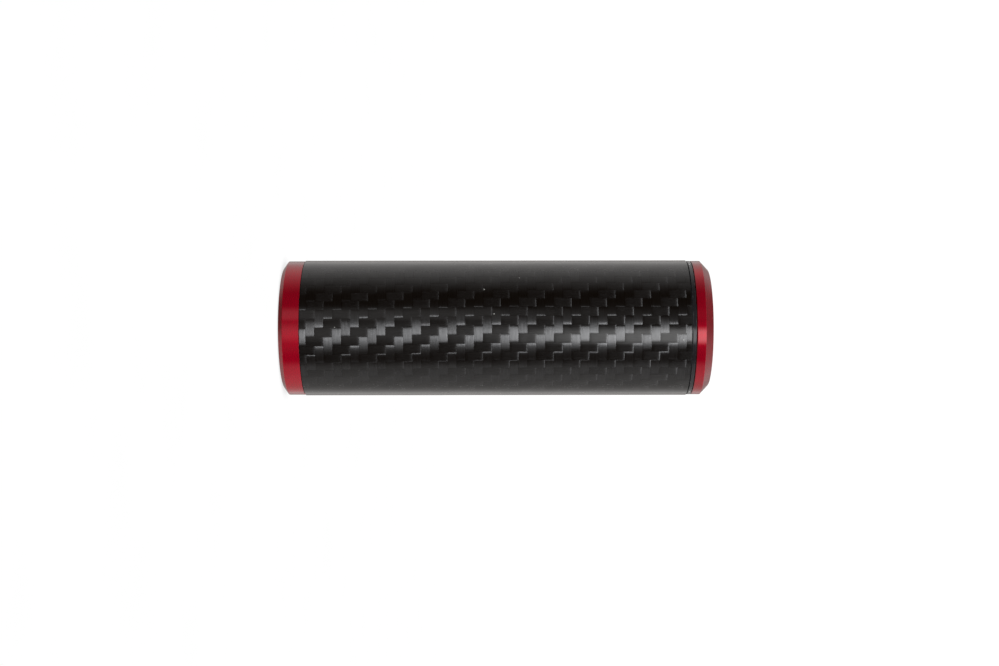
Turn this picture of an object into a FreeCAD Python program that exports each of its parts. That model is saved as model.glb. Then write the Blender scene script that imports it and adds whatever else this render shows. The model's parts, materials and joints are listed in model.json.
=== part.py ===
import FreeCAD, Part
import math
import os
import Sketcher

# Hard-sided food canister: a carbon-fibre tube with a bonded aluminium cap below, a bonded aluminium
# collar in its mouth and a lift-off aluminium lid held by three coin-turned latches.
# Frame: +Z runs up the tube's axis, and the origin is the centre of the face that it stands on.
# The latches are drawn open, with each arm clear of the collar's lip, so the lid is free to lift.

SIZES = {
    # tube
    "overall_length": 634.6,
    "tube_radius": 101.5,
    "tube_wall": 2.0,
    "band_radius": 100.6,
    "edge_break": 0.4,
    "mouth_edge_break": 0.3,
    "bond_gap": 0.2,
    # lower cap
    "foot_chamfer_length": 6.7,
    "foot_chamfer_depth": 9.3,
    "lower_band_length": 24.3,
    "lower_bond_line": 1.0,
    "lower_bond_recess": 0.6,
    "foot_ledge_radius": 80.0,
    "foot_ledge_slope": 2.0,
    "foot_recess": 2.0,
    "floor_thickness": 2.6,
    "floor_blend": 6.0,
    "spigot_wall": 3.2,
    "lower_spigot_length": 28.0,
    # collar in the tube's mouth
    "upper_bond_line": 1.8,
    "upper_bond_recess": 0.9,
    "collar_flange": 5.4,
    "shadow_step": 0.8,
    "shadow_depth": 1.6,
    "collar_spigot_length": 29.0,
    "collar_wall": 5.0,
    "lip_radius": 86.0,
    "lip_thickness": 6.3,
    "lip_lead_in": 1.2,
    # lid
    "seat_gap": 0.3,
    "lid_band_length": 13.6,
    "lid_chamfer_length": 11.9,
    "lid_chamfer_depth": 12.7,
    "lid_plate": 3.4,
    "skirt_clearance": 0.4,
    "skirt_length": 6.1,
    "skirt_lead_in": 0.8,
    "pocket_radius": 80.0,
    "pocket_blend": 4.0,
    "seal_section": 1.5,
    "seal_clearance": 0.2,
    "seal_groove": 3.4,
    "seal_depth": 3.0,
    # latches
    "latch_circle": 62.0,
    "boss_radius": 19.0,
    "recess_radius": 14.9,
    "recess_depth": 5.6,
    "bush_radius": 6.5,
    "shaft_radius": 5.0,
    "running_gap": 0.05,
    "thrust_gap": 0.1,
    "head_radius": 14.5,
    "head_height": 4.1,
    "slot_width": 2.6,
    "slot_length": 24.0,
    "slot_depth": 2.4,
    "thrust_washer": 0.8,
    "thrust_washer_radius": 13.5,
    "spring_washer": 1.2,
    "spring_washer_radius": 9.5,
    "arm_thickness": 3.2,
    "arm_drop": 0.4,
    "arm_half_width": 10.0,
    "arm_reach": 29.0,
    "arm_tip_cut": 4.0,
    "drive_square": 7.0,
    "thread_radius": 3.0,
    "nut_washer": 1.2,
    "nut_washer_radius": 8.5,
    "nut_height": 6.0,
    "nut_flats": 10.0,
    "thread_end": 1.6,
    "stop_radius": 2.0,
    "stop_gap": 0.3,
    "stop_offset": 7.0,
    "stop_grip": 8.0,
    "stop_reach": 4.2,
    "mark_radius": 1.6,
    "small_mark_radius": 0.96,
    "mark_depth": 0.6,
    "mark_offset": 20.0,
}
LATCHES = ("a", "b", "c")
LATCH_STEP = 360.0 / len(LATCHES)
FIRST_LATCH = 90.0
SMALLEST = 1e-9
NEAR = 1e-4
BLEND_CUT = 0.3
CORNER_CUT = 0.41
HALF = 0.5

doc = FreeCAD.newDocument("bear_canister")
sheet = doc.addObject("Spreadsheet::Sheet", "Sizes")
for row, (alias, size) in enumerate(SIZES.items(), start=1):
    sheet.set(f"A{row}", alias)
    sheet.set(f"B{row}", str(size))
    sheet.setAlias(f"B{row}", alias)
doc.recompute()


class Length:
    """A length in millimetres, with the sheet expression that it is bound to."""

    def __init__(self, value, text):
        self.value = value
        self.text = text

    def __add__(self, other):
        return Length(self.value + other.value, f"({self.text} + {other.text})")

    def __sub__(self, other):
        return Length(self.value - other.value, f"({self.text} - {other.text})")

    def __neg__(self):
        return Length(-self.value, f"(-{self.text})")

    def __mul__(self, factor):
        return Length(self.value * factor, f"({self.text} * {factor})")


def size(alias):
    return Length(SIZES[alias], f"Sizes.{alias}")


def bind(target, path, length):
    """Ties a property, or a part of one, to the sheet."""
    target.setExpression(path, length.text)


ZERO = Length(0.0, "0")
parts = []


# ---- stations along the axis and across it, worked out from the sheet

top = size("overall_length")
band_r = size("band_radius")
bore_r = size("tube_radius") - size("tube_wall")
spigot_r = bore_r - size("bond_gap")
edge = size("edge_break")

floor_under = size("foot_recess")
floor_top = floor_under + size("floor_thickness")
lower_shoulder = size("foot_chamfer_length") + size("lower_band_length")
lower_spigot_top = lower_shoulder + size("lower_spigot_length")
tube_bottom = lower_shoulder + size("lower_bond_line")

lid_chamfer_z = top - size("lid_chamfer_length")
lid_rim_z = lid_chamfer_z - size("lid_band_length")
collar_top = lid_rim_z - size("seat_gap")
collar_shoulder = collar_top - size("collar_flange")
tube_top = collar_shoulder - size("upper_bond_line")
collar_spigot_bottom = collar_shoulder - size("collar_spigot_length")
collar_step = collar_top - size("shadow_step")
lip_under = collar_top - size("lip_thickness")
collar_inner_r = spigot_r - size("collar_wall")

skirt_r = size("lip_radius") - size("skirt_clearance")
skirt_bottom = lid_rim_z - size("skirt_length")
plate_under = top - size("lid_plate")
seal_outer_r = size("lip_radius") - size("seal_clearance")
seal_centre_r = seal_outer_r - size("seal_section")
seal_floor_r = seal_centre_r - size("seal_section")
seal_z = lid_rim_z - size("seal_depth")

recess_floor = top - size("recess_depth")
washer_under = recess_floor + size("thrust_gap")
head_under = washer_under + size("thrust_washer")
head_top = head_under + size("head_height")
arm_top = lip_under - size("arm_drop")
arm_under = arm_top - size("arm_thickness")
spring_top = arm_top + size("spring_washer")
boss_bottom = spring_top + size("thrust_gap") + size("thrust_gap")
nut_top = arm_under - size("nut_washer")
nut_under = nut_top - size("nut_height")
screw_end = nut_under - size("thread_end")


# ---- helpers

def origin_plane(body, role):
    return next(item for item in body.Origin.OriginFeatures if item.Role == role)


def origin_axis(body):
    return next(item for item in body.Origin.OriginFeatures if item.Role == "Z_Axis")


def new_body(label):
    body = doc.addObject("PartDesign::Body", label)
    body.Label = label
    parts.append(body)
    return body


def new_sketch(body, role, lift=None):
    """An empty sketch on one of the body's own origin planes, lifted along the plane's normal."""
    sketch = body.newObject("Sketcher::SketchObject", f"{body.Name}_sketch")
    sketch.AttachmentSupport = [(origin_plane(body, role), "")]
    sketch.MapMode = "FlatFace"
    if lift is not None:
        bind(sketch, "AttachmentOffset.Base.z", lift)
    return sketch


def place_point(sketch, geometry, point, across, up):
    """Fixes one point of a sketch to the sketch's origin, by lengths from the sheet."""
    for kind, own_axis, length in (("DistanceX", -2, across), ("DistanceY", -1, up)):
        if abs(length.value) < SMALLEST:
            sketch.addConstraint(Sketcher.Constraint("PointOnObject", geometry, point, own_axis))
            continue
        ends = (-1, 1, geometry, point)
        if length.value < 0:
            ends = (geometry, point, -1, 1)
            length = -length
        index = sketch.addConstraint(Sketcher.Constraint(kind, *ends, length.value))
        bind(sketch, f"Constraints[{index}]", length)


def draw_polygon(sketch, corners):
    """A closed outline of straight lines, each corner fixed by the sheet."""
    points = [FreeCAD.Vector(across.value, up.value, 0) for across, up in corners]
    count = len(points)
    for index in range(count):
        line = Part.LineSegment(points[index], points[(index + 1) % count])
        sketch.addGeometry(line, False)
    for index in range(count):
        joint = Sketcher.Constraint("Coincident", index, 2, (index + 1) % count, 1)
        sketch.addConstraint(joint)
    for index, (across, up) in enumerate(corners):
        place_point(sketch, index, 1, across, up)


def draw_circle(sketch, across, up, radius):
    centre = FreeCAD.Vector(across.value, up.value, 0)
    circle = Part.Circle(centre, FreeCAD.Vector(0, 0, 1), radius.value)
    index = sketch.addGeometry(circle, False)
    place_point(sketch, index, 3, across, up)
    constraint = sketch.addConstraint(Sketcher.Constraint("Radius", index, radius.value))
    bind(sketch, f"Constraints[{constraint}]", radius)


def draw_rectangle(sketch, half_across, half_up):
    corners = ((-half_across, -half_up), (half_across, -half_up))
    corners += ((half_across, half_up), (-half_across, half_up))
    draw_polygon(sketch, corners)


def volume_before(feature):
    base = feature.BaseFeature
    return base.Shape.Volume if base else 0.0


def settle(feature, grows):
    """Recomputes, and stops if the feature didn't add or remove material as it should."""
    doc.recompute()
    change = feature.Shape.Volume - volume_before(feature)
    if (change > NEAR) != grows or abs(change) < NEAR:
        raise RuntimeError(f"{feature.Label} changed the volume by {change:.3f} mm3")
    return feature


def revolve(body, corners):
    """Turns a closed outline of (radius, height) corners about the +Z axis."""
    sketch = new_sketch(body, "XZ_Plane")
    draw_polygon(sketch, corners)
    feature = body.newObject("PartDesign::Revolution", f"{body.Name}_turned")
    feature.Profile = sketch
    feature.ReferenceAxis = (sketch, ["V_Axis"])
    feature.Angle = 360.0
    return settle(feature, True)


def pad(body, sketch, length):
    """Adds material upwards from the sketch."""
    feature = body.newObject("PartDesign::Pad", f"{body.Name}_pad")
    feature.Profile = sketch
    bind(feature, "Length", length)
    return settle(feature, True)


def pocket(body, sketch, length, upwards=False):
    """Removes material downwards from the sketch, or upwards."""
    feature = body.newObject("PartDesign::Pocket", f"{body.Name}_pocket")
    feature.Profile = sketch
    feature.Reversed = upwards
    bind(feature, "Length", length)
    return settle(feature, False)


def round_edges(shape, stations):
    """Names of the circular edges at the given (radius, height) stations."""
    names = []
    for index, item in enumerate(shape.Edges, start=1):
        curve = item.Curve
        if not isinstance(curve, Part.Circle):
            continue
        for radius, height in stations:
            level = abs(curve.Center.z - height.value)
            if abs(curve.Radius - radius.value) < NEAR and level < NEAR:
                names.append(f"Edge{index}")
    return sorted(set(names))


def chamfer(body, stations, amount):
    """Breaks the turned edges at the given stations."""
    base = body.Tip
    names = round_edges(base.Shape, stations)
    if len(names) < len(stations):
        raise RuntimeError(f"{body.Label}: {len(names)} of {len(stations)} edges found")
    feature = body.newObject("PartDesign::Chamfer", f"{body.Name}_chamfer")
    feature.Base = (base, names)
    bind(feature, "Size", amount)
    return settle(feature, False)


def ring(label, inner, outer, bottom, height):
    """A plain turned ring: a washer, a bush or a layer of adhesive."""
    body = new_body(label)
    upper = bottom + height
    revolve(body, ((inner, bottom), (outer, bottom), (outer, upper), (inner, upper)))
    return body


def place_at_latch(item, index):
    """Moves a piece drawn about its own latch's axis out to that latch, facing outwards."""
    angle = FIRST_LATCH + index * LATCH_STEP
    item.Placement.Rotation = FreeCAD.Rotation(FreeCAD.Vector(0, 0, 1), angle)
    circle = size("latch_circle")
    bind(item, ".Placement.Base.x", circle * round(math.cos(math.radians(angle)), 12))
    bind(item, ".Placement.Base.y", circle * round(math.sin(math.radians(angle)), 12))


# ---- body of the canister

def make_tube():
    body = new_body("carbon_tube")
    outer = size("tube_radius")
    corners = ((bore_r, tube_bottom), (outer, tube_bottom), (outer, tube_top), (bore_r, tube_top))
    revolve(body, corners)
    chamfer(body, ((outer, tube_bottom), (outer, tube_top)), edge)


def make_bottom_cap():
    """Cup-shaped cap: it stands on the ledge round its recessed floor, and its spigot fills the tube."""
    body = new_body("bottom_cap")
    inner_r = spigot_r - size("spigot_wall")
    blend = size("floor_blend")
    foot_r = band_r - size("foot_chamfer_depth")
    revolve(body, (
        (ZERO, floor_under),
        (size("foot_ledge_radius"), floor_under),
        (size("foot_ledge_radius") + size("foot_ledge_slope"), ZERO),
        (foot_r, ZERO),
        (band_r, size("foot_chamfer_length")),
        (band_r, lower_shoulder),
        (spigot_r, lower_shoulder),
        (spigot_r, lower_spigot_top),
        (inner_r, lower_spigot_top),
        (inner_r, floor_top + blend),
        (inner_r - blend * BLEND_CUT, floor_top + blend * BLEND_CUT),
        (inner_r - blend, floor_top),
        (ZERO, floor_top),
    ))
    chamfer(body, ((inner_r, lower_spigot_top), (band_r, lower_shoulder)), edge)


def make_bond(label, line_bottom, line_top, far_end, recess):
    """Adhesive: a thin layer between spigot and tube, and the line that shows at the tube's end."""
    body = new_body(label)
    line_r = band_r - recess
    if far_end.value > line_top.value:
        revolve(body, (
            (spigot_r, line_bottom),
            (line_r, line_bottom),
            (line_r, line_top),
            (bore_r, line_top),
            (bore_r, far_end),
            (spigot_r, far_end),
        ))
    else:
        revolve(body, (
            (spigot_r, far_end),
            (bore_r, far_end),
            (bore_r, line_bottom),
            (line_r, line_bottom),
            (line_r, line_top),
            (spigot_r, line_top),
        ))


def make_collar():
    """Ring in the tube's mouth: a flange that shows, a bonded spigot, and the lip that the latches grip."""
    body = new_body("mouth_collar")
    lead_in = size("lip_lead_in")
    revolve(body, (
        (collar_inner_r, collar_spigot_bottom),
        (spigot_r, collar_spigot_bottom),
        (spigot_r, collar_shoulder),
        (band_r, collar_shoulder),
        (band_r, collar_step),
        (band_r - size("shadow_depth"), collar_step),
        (band_r - size("shadow_depth"), collar_top),
        (size("lip_radius") + lead_in, collar_top),
        (size("lip_radius"), collar_top - lead_in),
        (size("lip_radius"), lip_under),
        (collar_inner_r, lip_under),
    ))
    chamfer(body, ((collar_inner_r, collar_spigot_bottom),), edge)
    chamfer(body, ((band_r, collar_step),), size("mouth_edge_break"))


# ---- lid

def make_lid():
    """Turned lid with a chamfered rim, a skirt with the seal's groove, and a boss for each latch."""
    body = new_body("lid")
    half_groove = size("seal_groove") * HALF
    lead_in = size("skirt_lead_in")
    pocket_r = size("pocket_radius")
    blend = size("pocket_blend")
    face_r = band_r - size("lid_chamfer_depth")
    turned = revolve(body, (
        (ZERO, plate_under),
        (pocket_r - blend, plate_under),
        (pocket_r - blend * BLEND_CUT, plate_under - blend * BLEND_CUT),
        (pocket_r, plate_under - blend),
        (pocket_r, skirt_bottom),
        (skirt_r - lead_in, skirt_bottom),
        (skirt_r, skirt_bottom + lead_in),
        (skirt_r, seal_z - half_groove),
        (seal_floor_r, seal_z - half_groove),
        (seal_floor_r, seal_z + half_groove),
        (skirt_r, seal_z + half_groove),
        (skirt_r, lid_rim_z),
        (band_r, lid_rim_z),
        (band_r, lid_chamfer_z),
        (face_r, top),
        (ZERO, top),
    ))
    chamfer(body, ((face_r, top), (band_r, lid_chamfer_z)), edge)
    chamfer(body, ((band_r, lid_rim_z),), size("mouth_edge_break"))
    circle = size("latch_circle")

    boss = new_sketch(body, "XY_Plane", boss_bottom)
    draw_circle(boss, circle, ZERO, size("boss_radius"))
    repeated = [pad(body, boss, plate_under - boss_bottom)]

    recess = new_sketch(body, "XY_Plane", top)
    draw_circle(recess, circle, ZERO, size("recess_radius"))
    repeated.append(pocket(body, recess, size("recess_depth")))

    bore = new_sketch(body, "XY_Plane", recess_floor)
    draw_circle(bore, circle, ZERO, size("bush_radius"))
    repeated.append(pocket(body, bore, recess_floor - boss_bottom))

    stops = new_sketch(body, "XY_Plane", boss_bottom)
    for across, up in stop_places():
        draw_circle(stops, circle + across, up, size("stop_radius"))
    repeated.append(pocket(body, stops, size("stop_grip"), upwards=True))

    marks = new_sketch(body, "XY_Plane", top)
    draw_circle(marks, circle + size("mark_offset"), ZERO, size("mark_radius"))
    draw_circle(marks, circle, size("mark_offset"), size("small_mark_radius"))
    repeated.append(pocket(body, marks, size("mark_depth")))

    pattern = body.newObject("PartDesign::PolarPattern", "lid_latch_pattern")
    pattern.Originals = repeated
    pattern.Axis = (origin_axis(body), [""])
    pattern.Angle = 360.0
    pattern.Occurrences = len(LATCHES)
    body.Tip = pattern
    doc.recompute()
    if pattern.Shape.Volume <= turned.Shape.Volume:
        raise RuntimeError("the latch pattern added nothing to the lid")
    body.Placement.Rotation = FreeCAD.Rotation(FreeCAD.Vector(0, 0, 1), FIRST_LATCH)


def make_seal():
    """Rubber O-ring in the skirt's groove, drawn at the size it has once squeezed by the lip."""
    torus = doc.addObject("Part::Torus", "lid_seal")
    torus.Label = "lid_seal"
    bind(torus, "Radius1", seal_centre_r)
    bind(torus, "Radius2", size("seal_section"))
    bind(torus, ".Placement.Base.z", seal_z)
    parts.append(torus)


# ---- latches, each drawn about its own axis with +X pointing outwards from the canister's axis

def stop_places():
    """Centres of a latch's two stop pins: one beside the open arm, one beside the locked arm."""
    beside = size("arm_half_width") + size("stop_radius") + size("stop_gap")
    along = size("stop_offset")
    return ((-beside, along), (along, -beside))


def make_screw(index, letter):
    """Stainless screw: coin-slotted head, round shaft, square drive for the arm, threaded end."""
    body = new_body(f"latch_screw_{letter}")
    head_r = size("head_radius")
    shaft_r = size("shaft_radius")
    thread_r = size("thread_radius")
    revolve(body, (
        (ZERO, screw_end),
        (thread_r, screw_end),
        (thread_r, arm_top),
        (shaft_r, arm_top),
        (shaft_r, head_under),
        (head_r, head_under),
        (head_r, head_top),
        (ZERO, head_top),
    ))
    drive = new_sketch(body, "XY_Plane", arm_under)
    half = size("drive_square") * HALF
    draw_rectangle(drive, half, half)
    pad(body, drive, size("arm_thickness"))
    chamfer(body, ((head_r, head_top), (thread_r, screw_end)), edge)
    slot = new_sketch(body, "XY_Plane", head_top)
    draw_rectangle(slot, size("slot_width") * HALF, size("slot_length") * HALF)
    pocket(body, slot, size("slot_depth"))
    place_at_latch(body, index)


def make_arm(index, letter):
    """Flat latch arm with a square hole. It lies along +Y when open and swings to +X to lock."""
    body = new_body(f"latch_arm_{letter}")
    half_width = size("arm_half_width")
    reach = size("arm_reach")
    tip = size("arm_tip_cut")
    outline = new_sketch(body, "XY_Plane", arm_under)
    draw_polygon(outline, (
        (-half_width, -half_width * CORNER_CUT),
        (-half_width * CORNER_CUT, -half_width),
        (half_width * CORNER_CUT, -half_width),
        (half_width, -half_width * CORNER_CUT),
        (half_width, reach - tip),
        (half_width - tip, reach),
        (tip - half_width, reach),
        (-half_width, reach - tip),
    ))
    pad(body, outline, size("arm_thickness"))
    hole = new_sketch(body, "XY_Plane", arm_top)
    half = size("drive_square") * HALF
    draw_rectangle(hole, half, half)
    pocket(body, hole, size("arm_thickness"))
    place_at_latch(body, index)


def make_nut(index, letter):
    """Hexagon lock nut on the screw's threaded end."""
    body = new_body(f"latch_nut_{letter}")
    half_flats = size("nut_flats") * HALF
    corner = half_flats * round(1 / math.cos(math.radians(30)), 12)
    side = corner * HALF
    outline = new_sketch(body, "XY_Plane", nut_under)
    draw_polygon(outline, (
        (corner, ZERO),
        (side, half_flats),
        (-side, half_flats),
        (-corner, ZERO),
        (-side, -half_flats),
        (side, -half_flats),
    ))
    pad(body, outline, size("nut_height"))
    hole = new_sketch(body, "XY_Plane", nut_top)
    draw_circle(hole, ZERO, ZERO, size("thread_radius"))
    pocket(body, hole, size("nut_height"))
    place_at_latch(body, index)


def make_latch(index, letter):
    make_screw(index, letter)
    make_arm(index, letter)
    make_nut(index, letter)
    shaft_r = size("shaft_radius")
    running_r = shaft_r + size("running_gap")
    rings = (
        ("latch_bush", running_r, size("bush_radius"), boss_bottom, recess_floor - boss_bottom),
        ("latch_thrust_washer", shaft_r, size("thrust_washer_radius"), washer_under, size("thrust_washer")),
        ("latch_spring_washer", shaft_r, size("spring_washer_radius"), arm_top, size("spring_washer")),
        ("latch_nut_washer", size("thread_radius"), size("nut_washer_radius"), nut_top, size("nut_washer")),
    )
    for kind, inner, outer, bottom, height in rings:
        place_at_latch(ring(f"{kind}_{letter}", inner, outer, bottom, height), index)


def make_stop_pins():
    """Steel dowels pressed into the bosses, two for each latch, that end the arm's quarter turn."""
    pins = []
    circle = size("latch_circle")
    for index, letter in enumerate(LATCHES):
        angle = math.radians(FIRST_LATCH + index * LATCH_STEP)
        cosine = round(math.cos(angle), 12)
        sine = round(math.sin(angle), 12)
        for place, (across, up) in enumerate(stop_places()):
            pin = doc.addObject("Part::Cylinder", f"stop_pin_{letter}{place}")
            outward = circle + across
            bind(pin, "Radius", size("stop_radius"))
            bind(pin, "Height", size("stop_grip") + size("stop_reach"))
            bind(pin, ".Placement.Base.x", outward * cosine - up * sine)
            bind(pin, ".Placement.Base.y", outward * sine + up * cosine)
            bind(pin, ".Placement.Base.z", boss_bottom - size("stop_reach"))
            pins.append(pin)
    group = doc.addObject("Part::Compound", "latch_stop_pins")
    group.Label = "latch_stop_pins"
    group.Links = pins
    parts.append(group)


make_tube()
make_bottom_cap()
make_bond("bottom_bond", lower_shoulder, tube_bottom, lower_spigot_top, size("lower_bond_recess"))
make_collar()
make_bond("mouth_bond", tube_top, collar_shoulder, collar_spigot_bottom, size("upper_bond_recess"))
make_lid()
make_seal()
for latch_index, latch_letter in enumerate(LATCHES):
    make_latch(latch_index, latch_letter)
make_stop_pins()
doc.recompute()

# ---- every object must have worked before anything is written

for item in doc.Objects:
    if "Invalid" in item.State or "Error" in item.State:
        raise RuntimeError(f"{item.Label} failed: {item.State}")
for part in parts:
    if part.Shape.isNull() or not part.Shape.isValid():
        raise RuntimeError(f"{part.Label} has no valid shape")

os.makedirs("parts", exist_ok=True)
for part in parts:
    part.Shape.exportStep(f"parts/{part.Label}.step")
    box = part.Shape.BoundBox
    print(f"{part.Label:24s} {part.Shape.Volume / 1000:9.2f} cm3  z {box.ZMin:.2f} to {box.ZMax:.2f}")
print(f"{len(parts)} sub-parts written")
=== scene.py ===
import json
import math

import bpy
from mathutils import Matrix, Vector

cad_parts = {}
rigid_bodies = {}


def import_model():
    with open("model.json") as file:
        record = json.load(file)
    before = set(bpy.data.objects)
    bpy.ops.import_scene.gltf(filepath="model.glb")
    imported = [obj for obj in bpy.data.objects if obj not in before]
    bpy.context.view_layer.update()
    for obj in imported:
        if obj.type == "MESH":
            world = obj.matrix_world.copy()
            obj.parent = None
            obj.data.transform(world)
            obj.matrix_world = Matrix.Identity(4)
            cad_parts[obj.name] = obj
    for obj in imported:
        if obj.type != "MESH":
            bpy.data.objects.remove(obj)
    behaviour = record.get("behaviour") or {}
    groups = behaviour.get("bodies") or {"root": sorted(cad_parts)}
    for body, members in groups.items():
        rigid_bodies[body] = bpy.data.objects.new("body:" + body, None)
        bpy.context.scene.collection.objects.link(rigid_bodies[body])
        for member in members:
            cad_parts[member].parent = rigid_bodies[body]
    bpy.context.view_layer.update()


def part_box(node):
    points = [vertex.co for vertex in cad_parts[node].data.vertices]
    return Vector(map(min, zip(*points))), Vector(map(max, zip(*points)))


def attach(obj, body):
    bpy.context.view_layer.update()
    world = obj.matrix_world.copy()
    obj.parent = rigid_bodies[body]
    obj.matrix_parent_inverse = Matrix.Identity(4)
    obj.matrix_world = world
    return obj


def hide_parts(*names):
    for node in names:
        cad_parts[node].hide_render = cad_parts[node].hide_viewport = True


# Looks of the canister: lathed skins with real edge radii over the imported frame, a twill weave worked out
# on the tube's own surface, anodised and turned metal, and a white studio. Metres throughout.

for item in list(bpy.data.objects):
    bpy.data.objects.remove(item, do_unlink=True)

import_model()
MM = 0.001

# ---- stations read from the frame

TUBE_LOW, TUBE_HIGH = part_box("carbon_tube")
CAP_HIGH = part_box("bottom_cap")[1]
COLLAR_LOW, COLLAR_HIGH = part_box("mouth_collar")
LID_LOW, LID_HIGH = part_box("lid")
BUSH_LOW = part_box("latch_bush_a")[0]
TUBE_R = TUBE_HIGH.x
BAND_R = CAP_HIGH.x
TOP = LID_HIGH.z
TUBE_WALL = 2.0 * MM
BOND = 0.2 * MM
BORE_R = TUBE_R - TUBE_WALL
SPIGOT_R = BORE_R - BOND

# sizes that the boxes don't hold
FOOT_CHAMFER = (9.3 * MM, 6.7 * MM)
LID_CHAMFER = (12.7 * MM, 11.9 * MM)
LID_BAND = 13.6 * MM
CAP_SHOULDER = TUBE_LOW.z - 1.0 * MM
COLLAR_FLANGE = 5.4 * MM
SHADOW_STEP = 0.8 * MM
SHADOW_DEPTH = 1.6 * MM
LIP_R = 86.0 * MM
LIP = 6.3 * MM
RECESS_R = 14.9 * MM
RECESS_DEPTH = 5.6 * MM
LATCH_CIRCLE = 62.0 * MM
BOSS_R = 19.0 * MM
BUSH_R = 6.5 * MM
LID_PLATE = 3.4 * MM
LID_POCKET_R = 80.0 * MM
MARK_OFFSET = 20.0 * MM
LOCKED_MARK_R = 1.6 * MM
OPEN_MARK_R = 0.96 * MM
CAP_FLOOR_R = 80.0 * MM
CAP_FOOT_INNER_R = 82.0 * MM
CAP_SPIGOT_WALL = 3.2 * MM
COLLAR_SPIGOT_WALL = 5.0 * MM
LATCH_ANGLES = [math.radians(90 + 120 * index) for index in range(3)]
ROUND = 256
EDGE = 0.6 * MM
SOFT_EDGE = 1.4 * MM
CRISP_EDGE = 0.1 * MM
SHARP_ANGLE = math.radians(35)
CUT_SHARP_ANGLE = math.radians(32)


# ---- mesh tools

def corner_arc(before, corner, after, radius, steps=4):
    """The points of a small arc that rounds one corner of an outline."""
    to_before = (before - corner).normalized()
    to_after = (after - corner).normalized()
    half = to_before.angle(to_after) / 2
    reach = min(radius / math.tan(half), 0.45 * (before - corner).length, 0.45 * (after - corner).length)
    start = corner + to_before * reach
    end = corner + to_after * reach
    points = []
    for step in range(steps + 1):
        share = step / steps
        points.append(start * (1 - share) ** 2 + corner * 2 * share * (1 - share) + end * share ** 2)
    return points


def outline(corners):
    """A closed (radius, height) outline. Each corner is (radius, height) or (radius, height, rounding)."""
    flat = [Vector(corner[:2]) for corner in corners]
    points = []
    for index, corner in enumerate(corners):
        if len(corner) == 2:
            points.append(flat[index])
            continue
        points += corner_arc(flat[index - 1], flat[index], flat[(index + 1) % len(flat)], corner[2])
    return points


def lathe_into(verts, faces, points, segments, closed=True, centre=(0.0, 0.0)):
    """Adds the surface that a (radius, height) line sweeps about the vertical axis through centre."""
    rings = []
    for point in points:
        if point.x < 1e-7:
            rings.append([len(verts)])
            verts.append((centre[0], centre[1], point.y))
            continue
        ring = []
        for step in range(segments):
            turn = 2 * math.pi * step / segments
            ring.append(len(verts))
            across = centre[0] + point.x * math.cos(turn)
            verts.append((across, centre[1] + point.x * math.sin(turn), point.y))
        rings.append(ring)
    pairs = list(zip(rings, rings[1:]))
    if closed:
        pairs.append((rings[-1], rings[0]))
    for low, high in pairs:
        for step in range(segments):
            after = (step + 1) % segments
            if len(low) == 1 and len(high) == 1:
                break
            if len(low) == 1:
                faces.append((low[0], high[after], high[step]))
            elif len(high) == 1:
                faces.append((low[step], low[after], high[0]))
            else:
                faces.append((low[step], low[after], high[after], high[step]))


def make_object(name, verts, faces):
    """A smooth-shaded mesh object whose real corners stay sharp."""
    mesh = bpy.data.meshes.new(name)
    mesh.from_pydata(verts, [], faces)
    mesh.validate()
    mesh.update()
    mesh.shade_smooth()
    mesh.set_sharp_from_angle(angle=SHARP_ANGLE)
    item = bpy.data.objects.new(name, mesh)
    bpy.context.scene.collection.objects.link(item)
    return item


def even_normals(item):
    """Keeps broad faces flat and lets only the small edge arcs bend the light."""
    modifier = item.modifiers.new("even_normals", "WEIGHTED_NORMAL")
    modifier.mode = "FACE_AREA"
    modifier.weight = 80
    modifier.keep_sharp = True
    return item


def lathed(name, corners, segments=ROUND):
    verts, faces = [], []
    lathe_into(verts, faces, outline(corners), segments)
    return even_normals(make_object(name, verts, faces))


def boolean(item, operation, tools):
    """Applies one exact boolean per tool, then removes the tools."""
    for tool in tools:
        modifier = item.modifiers.new("cut", "BOOLEAN")
        modifier.operation = operation
        modifier.solver = "EXACT"
        modifier.object = tool
        bpy.context.view_layer.update()
        graph = bpy.context.evaluated_depsgraph_get()
        mesh = bpy.data.meshes.new_from_object(item.evaluated_get(graph))
        item.modifiers.remove(modifier)
        old = item.data
        item.data = mesh
        bpy.data.meshes.remove(old)
        bpy.data.objects.remove(tool, do_unlink=True)


def stand_for(item, material, body, *nodes, slot=None):
    """Finishes a piece: its material, the body that it rides on and the CAD nodes that it stands for."""
    if not item.data.materials:
        item.data.materials.append(material)
    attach(item, body)
    if nodes:
        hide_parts(*nodes)
    return item


# ---- node tools

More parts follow.
